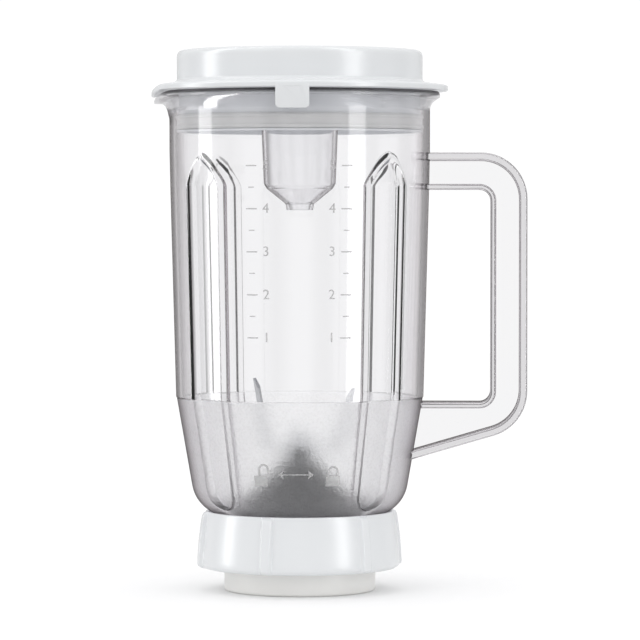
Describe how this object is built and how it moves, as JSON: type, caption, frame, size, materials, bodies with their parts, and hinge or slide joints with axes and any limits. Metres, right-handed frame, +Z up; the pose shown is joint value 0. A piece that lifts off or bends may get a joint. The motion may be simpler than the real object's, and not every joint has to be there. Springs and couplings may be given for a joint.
{
  "type": "blender jug",
  "caption": "Clear blender jug with a D-shaped beam handle, plug-in lid with filler funnel, and a twist-off base collar holding the blade unit.",
  "frame": {"origin": "on the jug's axis, in the plane of the drive skirt's lower rim, where the part stands or sits on a drive", "axes": "+Z up the jug's axis to the lid, +X towards the handle, -X towards the pouring spout, -Y towards the lid's thumb tab (the front)"},
  "size_m": [0.18, 0.142, 0.2587],
  "materials": {
    "clear_plastic": "clear injection-moulded plastic, polished, with a fine-grained frosted band low on the jug",
    "white_plastic": "smooth cool white moulded plastic, semi-gloss",
    "warm_white_plastic": "warm off-white moulded plastic, satin",
    "seal_silicone": "translucent whitish silicone",
    "dark_plastic": "near-black moulded plastic, satin",
    "dark_rubber": "black rubber",
    "steel": "fine-brushed stainless steel",
    "bearing_bronze": "sintered bearing bronze"
  },
  "bodies": {
    "jug": {"jug_body": "clear_plastic", "jug_handle": "clear_plastic"},
    "lid": {"lid": "white_plastic", "lid_seal": "seal_silicone"},
    "funnel": {"funnel": "clear_plastic"},
    "blade_unit": {"blade_carrier": "dark_plastic", "jug_gasket": "dark_rubber", "base_skirt": "warm_white_plastic", "lower_bearing": "bearing_bronze", "upper_bearing": "bearing_bronze", "shaft_seal": "dark_rubber", "carrier_screw_1": "steel", "carrier_screw_2": "steel", "carrier_screw_3": "steel"},
    "collar": {"locking_collar": "white_plastic"},
    "rotor": {"drive_shaft": "steel", "blade_spacer": "steel", "blade_lower": "steel", "blade_upper": "steel", "blade_washer": "steel", "blade_nut": "steel", "retaining_ring": "steel", "thrust_washer": "bearing_bronze", "drive_coupling": "dark_plastic", "coupling_screw": "steel"}
  },
  "joints": [
    {"name": "lid_lift", "type": "slide", "parent": "jug", "child": "lid", "axis": [0, 0, 1], "range_m": [0, 0.07]},
    {"name": "funnel_lift", "type": "slide", "parent": "lid", "child": "funnel", "axis": [0, 0, 1], "range_m": [0, 0.08]},
    {"name": "blade_unit_drop", "type": "slide", "parent": "jug", "child": "blade_unit", "axis": [0, 0, -1], "range_m": [0, 0.002]},
    {"name": "collar_turn", "type": "hinge", "parent": "blade_unit", "child": "collar", "pos_m": [0, 0, 0.025], "axis": [0, 0, -1], "range_deg": [0, 45]},
    {"name": "rotor_spin", "type": "hinge", "parent": "blade_unit", "child": "rotor", "pos_m": [0, 0, 0.066], "axis": [0, 0, 1], "continuous": true}
  ],
  "couplings": [
    {"joint": "blade_unit_drop", "follows": "collar_turn", "m_per_rad": 0.0025465}
  ]
}
